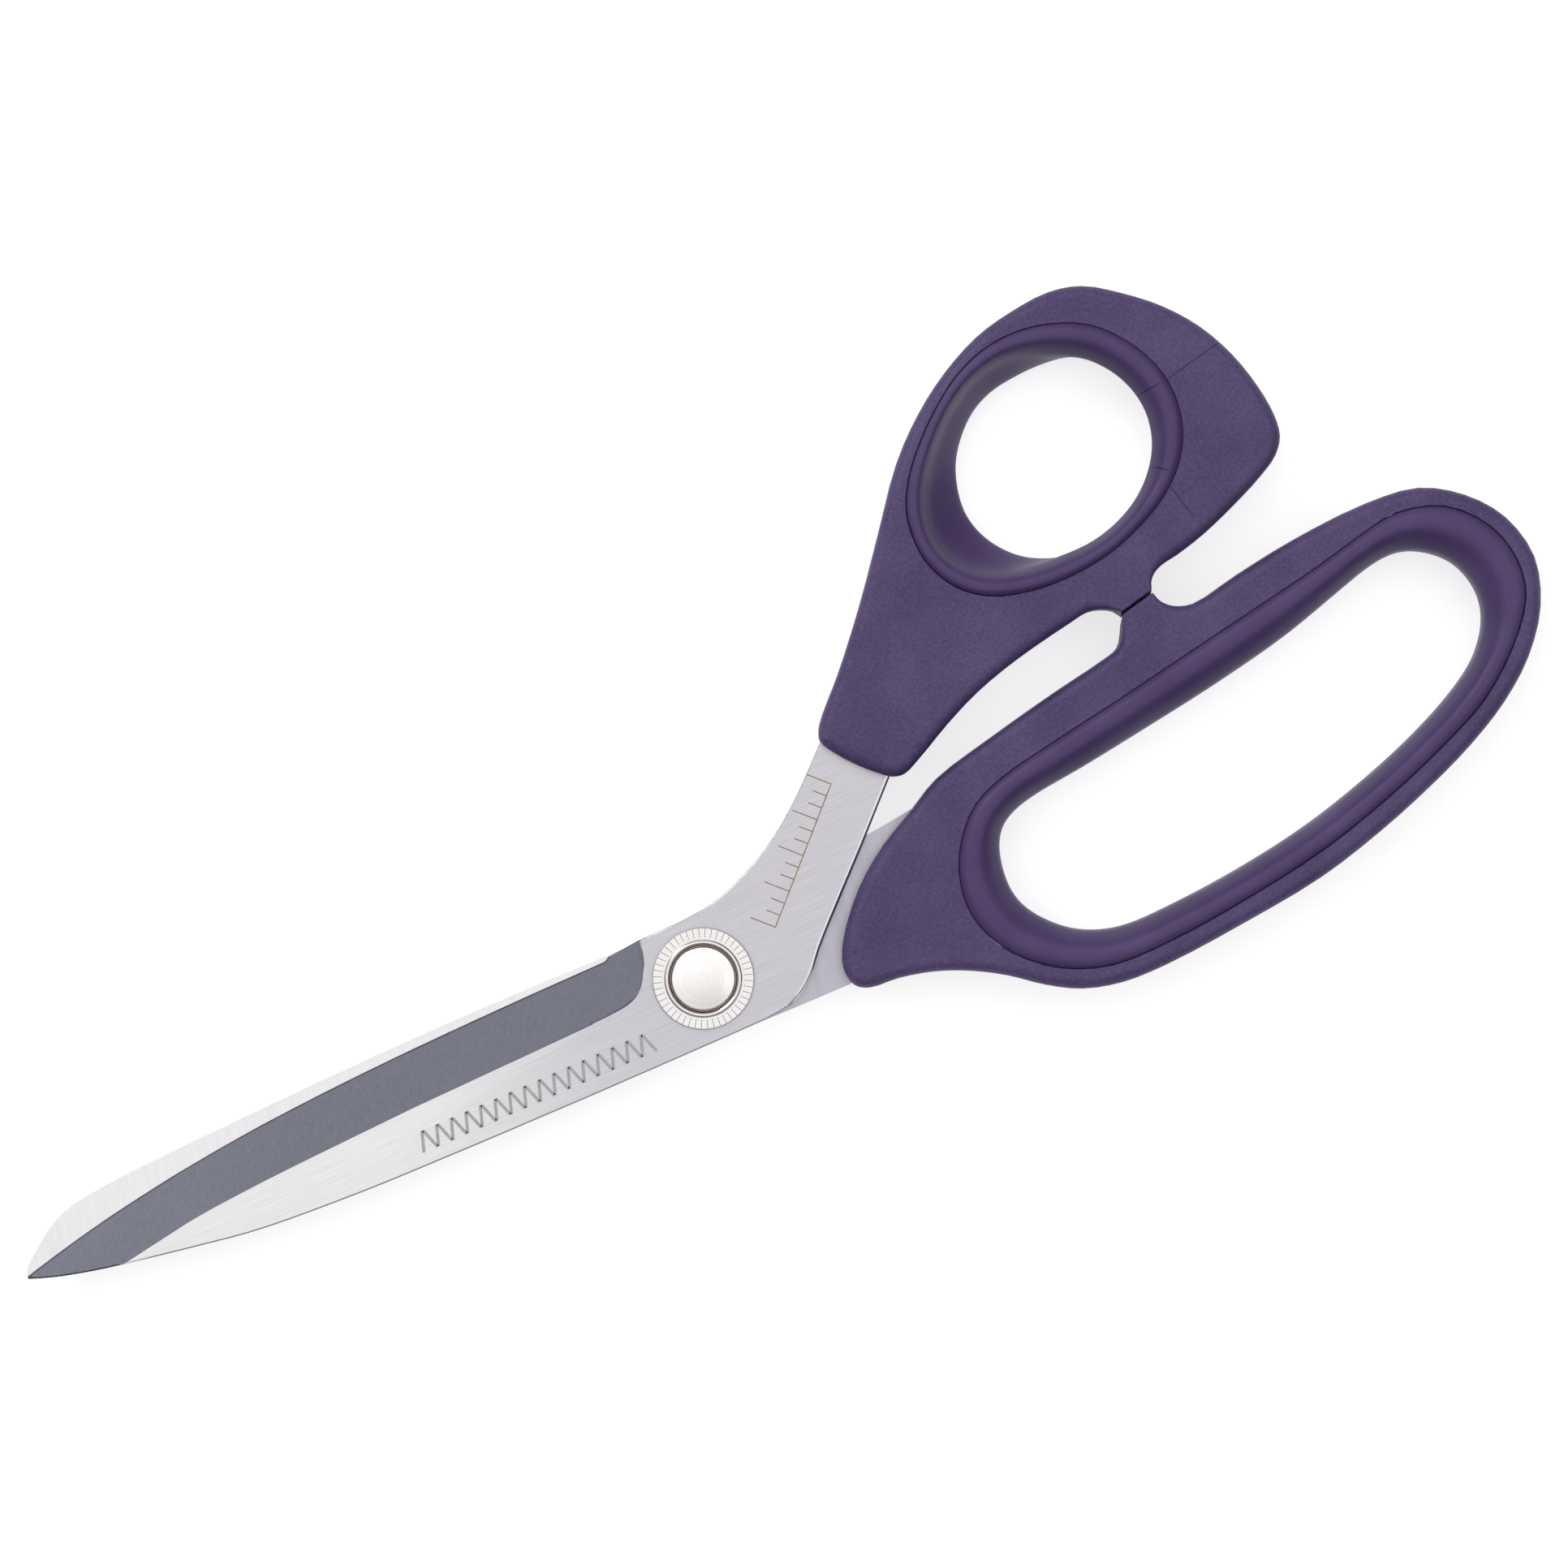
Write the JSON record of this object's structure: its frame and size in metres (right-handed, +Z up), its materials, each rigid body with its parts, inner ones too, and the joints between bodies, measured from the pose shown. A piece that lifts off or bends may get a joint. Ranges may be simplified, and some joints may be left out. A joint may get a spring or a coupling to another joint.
{
  "type": "dressmaking shears",
  "caption": "Bent-handle fabric shears with two steel blades on an adjustable screw pivot and moulded finger and thumb bows with soft liners.",
  "frame": {"origin": "middle of the underside of the closed shears: the centre of their length and width, in the plane that they rest on", "axes": "+X from the blade points towards the finger bow, +Y from the finger bow towards the thumb bow, +Z up from the table, along the pivot"},
  "size_m": [0.2098, 0.0832, 0.0114],
  "materials": {
    "blade_steel": "satin steel brushed along the blade, with a darker ground bevel",
    "handle_plastic": "matte purple moulded plastic with a fine grain",
    "liner_rubber": "smooth satin purple elastomer",
    "stud_chrome": "polished, with faint turned rings",
    "collar_steel": "polished",
    "ring_steel": "bright nickel plate",
    "washer_nylon": "natural nylon",
    "spring_steel": "dark spring steel",
    "screw_steel": "turned steel"
  },
  "bodies": {
    "rear_half": {"rear_blade": "blade_steel", "finger_handle": "handle_plastic", "finger_liner": "liner_rubber", "bearing_washer": "washer_nylon"},
    "front_half": {"front_blade": "blade_steel", "thumb_handle": "handle_plastic", "thumb_liner": "liner_rubber", "pivot_stud": "stud_chrome", "seat_collar": "collar_steel", "lock_ring": "ring_steel", "spring_washer": "spring_steel"},
    "tension_screw": {"tension_screw": "screw_steel"}
  },
  "joints": [
    {"name": "blade_pivot", "type": "hinge", "parent": "rear_half", "child": "front_half", "pos_m": [-0.0119, -0.01954, 0.0057], "axis": [0, 0, 1], "range_deg": [0, 110]},
    {"name": "tension_adjust", "type": "hinge", "parent": "front_half", "child": "tension_screw", "pos_m": [-0.0119, -0.01954, 0.0017], "axis": [0, 0, 1], "range_deg": [-90, 90]}
  ]
}
